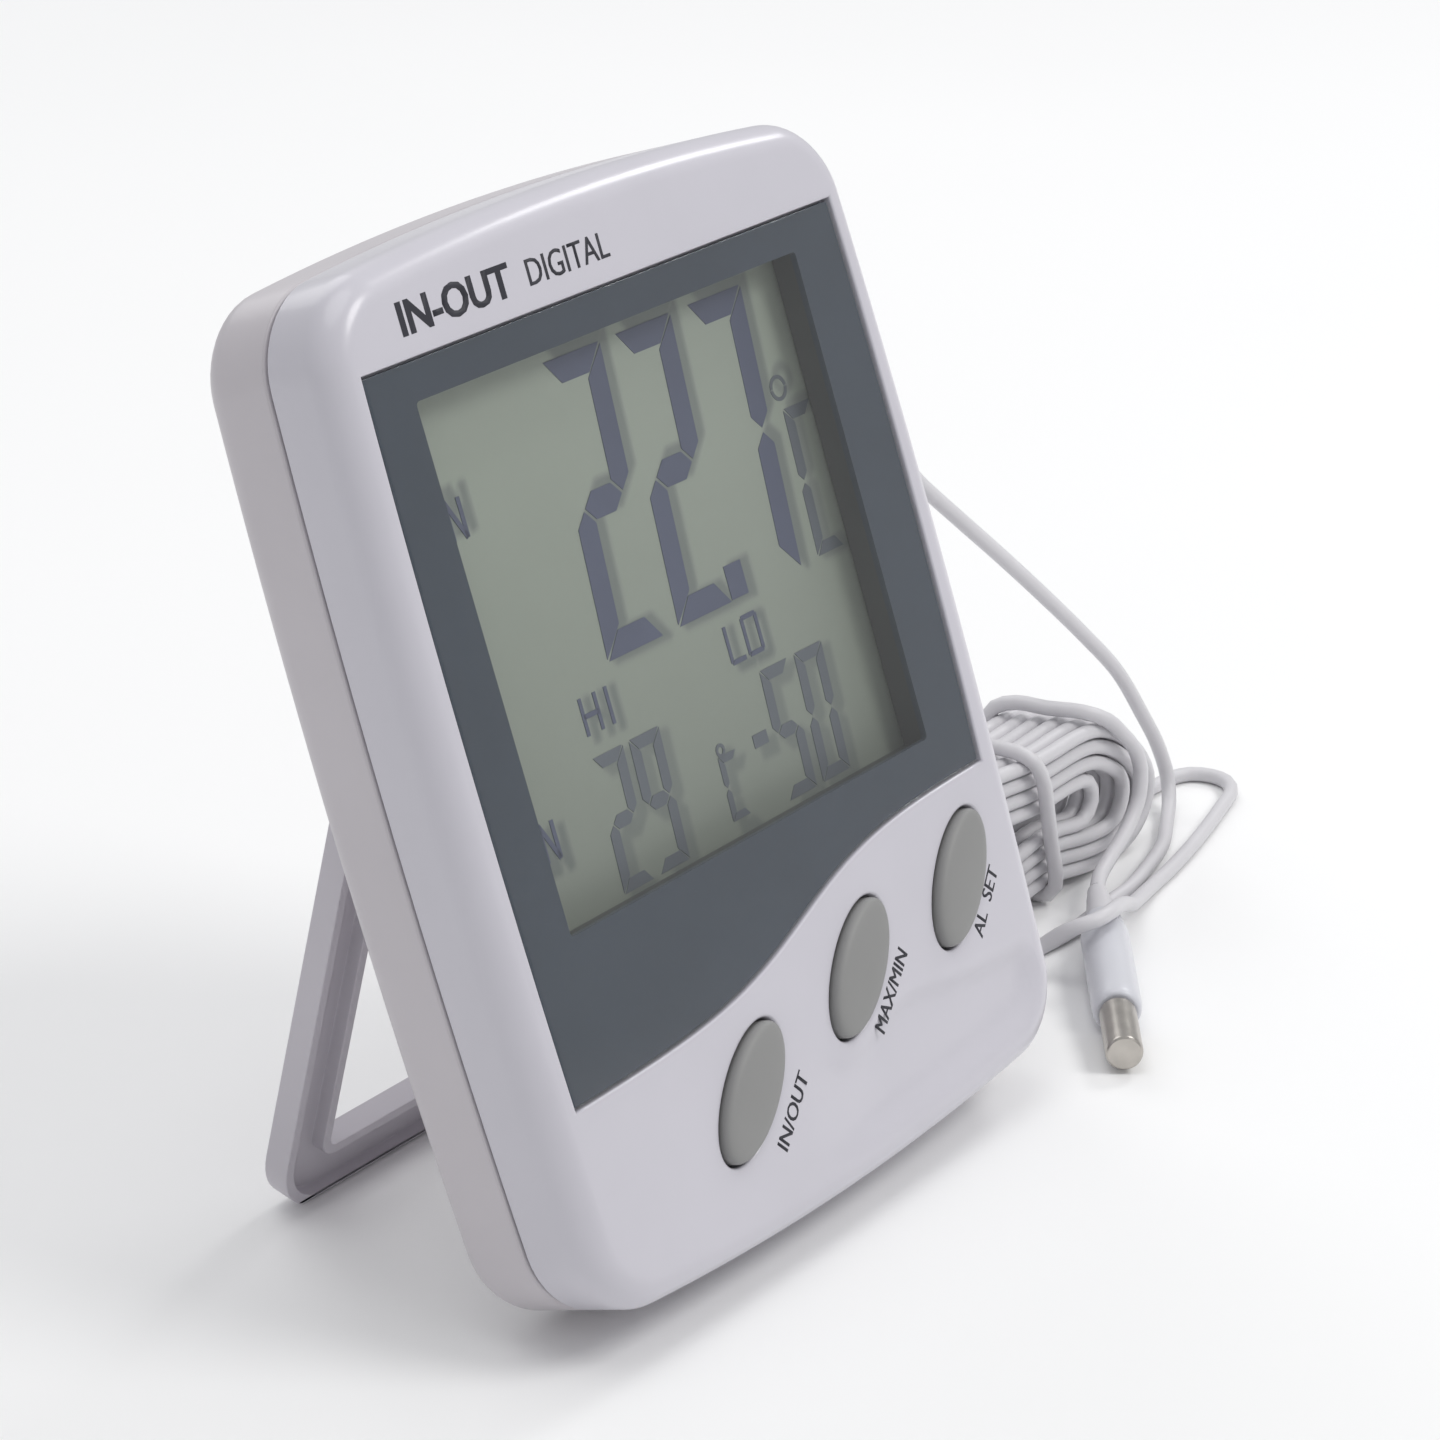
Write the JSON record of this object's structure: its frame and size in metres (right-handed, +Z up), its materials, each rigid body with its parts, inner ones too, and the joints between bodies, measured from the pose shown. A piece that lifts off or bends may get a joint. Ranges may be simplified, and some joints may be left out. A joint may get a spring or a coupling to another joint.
{
  "type": "maximum minimum thermometer",
  "caption": "Digital maximum minimum thermometer with a large display, three keys, a folding rear stand and an outdoor probe on a thin lead wound in a hank.",
  "frame": {"origin": "on the surface the thermometer stands on, under the middle of the box round the case and its open stand", "axes": "+X to the right seen from the front, +Y to the back, where the stand is, +Z up; the case leans back 19.3 degrees about X"},
  "size_m": [0.1788, 0.0618, 0.1142],
  "materials": {
    "case": "smooth satin ABS",
    "keys": "fine matt",
    "window": "clear sheet printed on its back with a slate border",
    "lcd": "grey-green liquid crystal glass, matt reflector behind",
    "dark": "moulded matt",
    "dark_gloss": "epoxy",
    "rubber": "silicone",
    "board": "solder resist on laminate",
    "soft_white": "flat ribbon",
    "steel": "bright plated steel",
    "nickel": "dull nickel plated brass",
    "brass": "sheet brass",
    "cell": "printed sleeve",
    "stand": "smooth satin ABS",
    "cord": "smooth soft PVC"
  },
  "bodies": {
    "case": {"front_case": "case", "rear_cover": "case", "display_window": "window", "lcd_frame": "dark", "lcd_panel": "lcd", "zebra_strip_top": "rubber", "zebra_strip_bottom": "rubber", "circuit_board": "board", "key_board": "board", "keypad_mat": "rubber", "ribbon_cable": "soft_white", "chip_blob": "dark_gloss", "quartz_crystal": "steel", "buzzer_disc": "brass", "room_sensor": "dark_gloss", "switch_body": "dark", "battery_cell": "cell", "battery_spring": "steel", "battery_plate": "steel", "case_screw_top_left": "steel", "case_screw_top_right": "steel", "case_screw_bottom_left": "steel", "case_screw_bottom_right": "steel", "board_screw_1": "steel", "board_screw_2": "steel", "board_screw_3": "steel", "board_screw_4": "steel", "cable_grommet": "cord", "inner_lead": "cord", "sensor_cord": "cord", "sensor_cord_loop": "cord", "sensor_cord_end": "cord", "cord_hank": "cord", "probe_neck": "cord", "probe_body": "case", "probe_tip": "nickel"},
    "stand": {"kickstand": "stand"},
    "in_out_key": {"button_in_out": "keys"},
    "max_min_key": {"button_max_min": "keys"},
    "alarm_key": {"button_alarm_set": "keys"},
    "door": {"battery_door": "case"},
    "slider": {"unit_switch": "dark"}
  },
  "joints": [
    {"name": "stand_hinge", "type": "hinge", "parent": "case", "child": "stand", "pos_m": [0, 0.01173, 0.05873], "axis": [1, 0, 0], "range_deg": [-33.7, 0]},
    {"name": "in_out_press", "type": "slide", "parent": "case", "child": "in_out_key", "axis": [0, 0.9438, -0.3305], "range_m": [0, 0.0006], "stiffness_N_per_m": 1500, "springref_m": -0.0002},
    {"name": "max_min_press", "type": "slide", "parent": "case", "child": "max_min_key", "axis": [0, 0.9438, -0.3305], "range_m": [0, 0.0006], "stiffness_N_per_m": 1500, "springref_m": -0.0002},
    {"name": "alarm_press", "type": "slide", "parent": "case", "child": "alarm_key", "axis": [0, 0.9438, -0.3305], "range_m": [0, 0.0006], "stiffness_N_per_m": 1500, "springref_m": -0.0002},
    {"name": "battery_door_hinge", "type": "hinge", "parent": "case", "child": "door", "pos_m": [0, -0.00636, 0.01325], "axis": [1, 0, 0], "range_deg": [-80, 0]},
    {"name": "unit_switch_slide", "type": "slide", "parent": "case", "child": "slider", "axis": [1, 0, 0], "range_m": [0, 0.002]}
  ]
}
